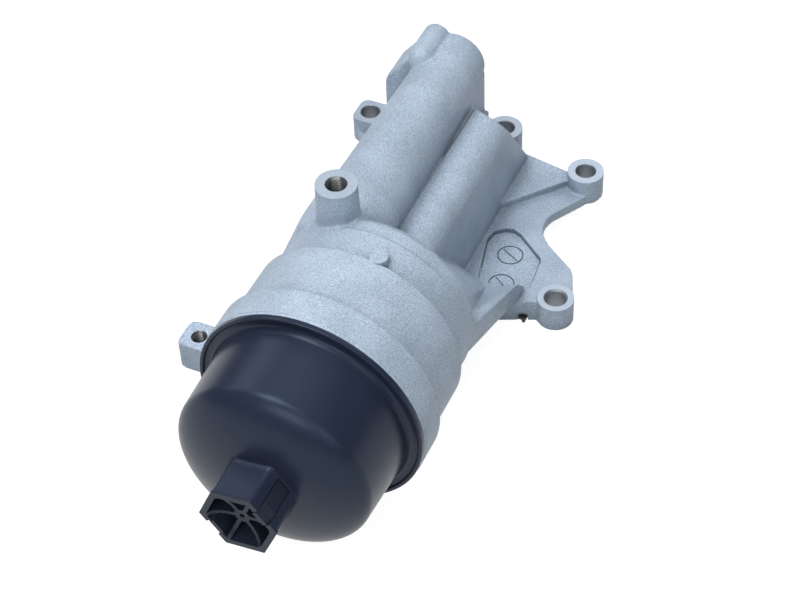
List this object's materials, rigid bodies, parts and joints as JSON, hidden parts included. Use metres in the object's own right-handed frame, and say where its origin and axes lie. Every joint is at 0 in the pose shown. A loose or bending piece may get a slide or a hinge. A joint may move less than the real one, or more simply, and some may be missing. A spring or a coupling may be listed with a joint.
{
  "type": "oil filter housing",
  "caption": "Cast oil filter housing with bolting flange and two oil galleries; the screw cap carries the filter cartridge out as it is unscrewed.",
  "frame": {"origin": "on the mounting face (the gasket side of the flange), straight below the filter axis", "axes": "+Z away from the engine, square to the mounting face; -Y along the filter axis towards the cap; +X towards the low bolt lug"},
  "size_m": [0.1287, 0.2636, 0.0975],
  "materials": {
    "cast_aluminium": "fine sandy as-cast surface",
    "gasket_rubber": "moulded rubber",
    "plug_steel": "pressed sheet steel",
    "pipe_plastic": "glass-filled moulding",
    "seal_rubber": "smooth rubber",
    "spring_steel": "drawn wire",
    "valve_steel": "turned",
    "filter_paper": "pleated filter paper",
    "cartridge_plastic": "moulded",
    "filter_rubber": "smooth rubber",
    "cap_plastic": "satin glass-filled moulding",
    "insert_plastic": "satin moulding"
  },
  "bodies": {
    "housing": {"housing_casting": "cast_aluminium", "flange_gasket": "gasket_rubber", "core_plug": "plug_steel", "standpipe": "pipe_plastic", "standpipe_seal": "seal_rubber", "anti_drain_flap": "seal_rubber", "bypass_seat": "pipe_plastic", "bypass_spring_seat": "plug_steel", "bypass_spring": "spring_steel"},
    "bypass": {"bypass_valve": "valve_steel"},
    "cartridge": {"filter_pleats": "filter_paper", "filter_core": "cartridge_plastic", "filter_inner_disc": "cartridge_plastic", "filter_outer_disc": "cartridge_plastic", "filter_inner_seal": "filter_rubber", "filter_outer_seal": "filter_rubber", "drain_pin_seal": "seal_rubber"},
    "cap": {"filter_cap": "cap_plastic", "cap_o_ring": "seal_rubber", "hex_insert": "insert_plastic"}
  },
  "joints": [
    {"name": "bypass_open", "type": "slide", "parent": "housing", "child": "bypass", "axis": [0, 1, 0], "range_m": [0, 0.004], "stiffness_N_per_m": 2500, "springref_m": -0.0068, "deforming": ["bypass_spring"]},
    {"name": "cap_travel", "type": "slide", "parent": "housing", "child": "cartridge", "axis": [0, -1, 0], "range_m": [0, 0.014]},
    {"name": "cap_turn", "type": "hinge", "parent": "cartridge", "child": "cap", "pos_m": [0, -0.16, 0.046], "axis": [0, -1, 0], "range_deg": [0, 1680]}
  ],
  "couplings": [
    {"joint": "cap_travel", "follows": "cap_turn", "m_per_rad": 0.00047746}
  ]
}
